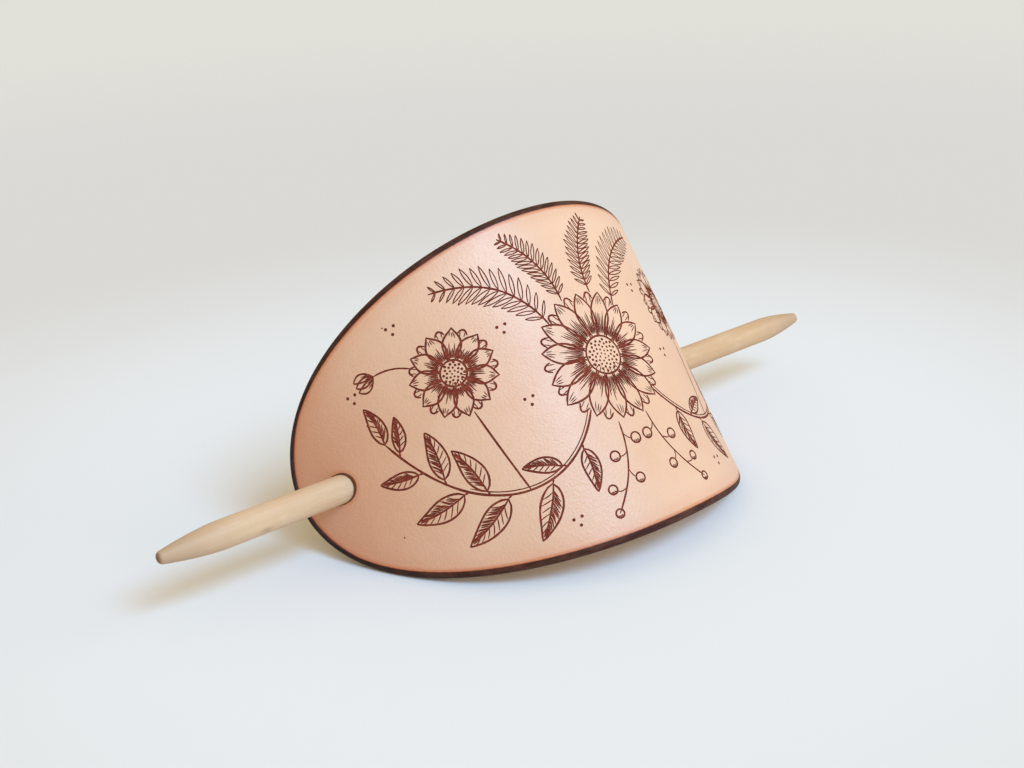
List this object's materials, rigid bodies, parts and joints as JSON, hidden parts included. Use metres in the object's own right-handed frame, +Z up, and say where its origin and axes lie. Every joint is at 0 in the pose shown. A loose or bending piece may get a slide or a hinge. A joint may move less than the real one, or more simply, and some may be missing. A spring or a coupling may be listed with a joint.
{
  "type": "leather barrette with a wooden stick",
  "caption": "Oval of thick leather bent to a bow, with a round wooden stick through a hole near each end that pins hair in the hollow of the bow.",
  "frame": {"origin": "middle of the base on the surface that the barrette stands on: halfway along the stick in X, halfway through the whole depth in Y", "axes": "+X along the stick, from its near tip in the picture to its far tip; -Y towards the round, engraved side of the leather; +Z up from the surface. The panel leans back towards +Y by 36 degrees, as it settles by itself"},
  "size_m": [0.1564, 0.052, 0.0547],
  "materials": {
    "tooling_leather": "undyed vegetable-tanned leather, smooth and slightly waxed, with burnt line engraving and a dark burnished edge",
    "stick_wood": "bare sanded birch with fine grain along the stick"
  },
  "bodies": {
    "barrette": {"leather_panel": "tooling_leather"},
    "stick": {"hair_stick": "stick_wood"}
  },
  "joints": [
    {"name": "stick_slide", "type": "slide", "parent": "barrette", "child": "stick", "axis": [1, 0, 0], "range_m": [-0.128, 0.122]}
  ]
}
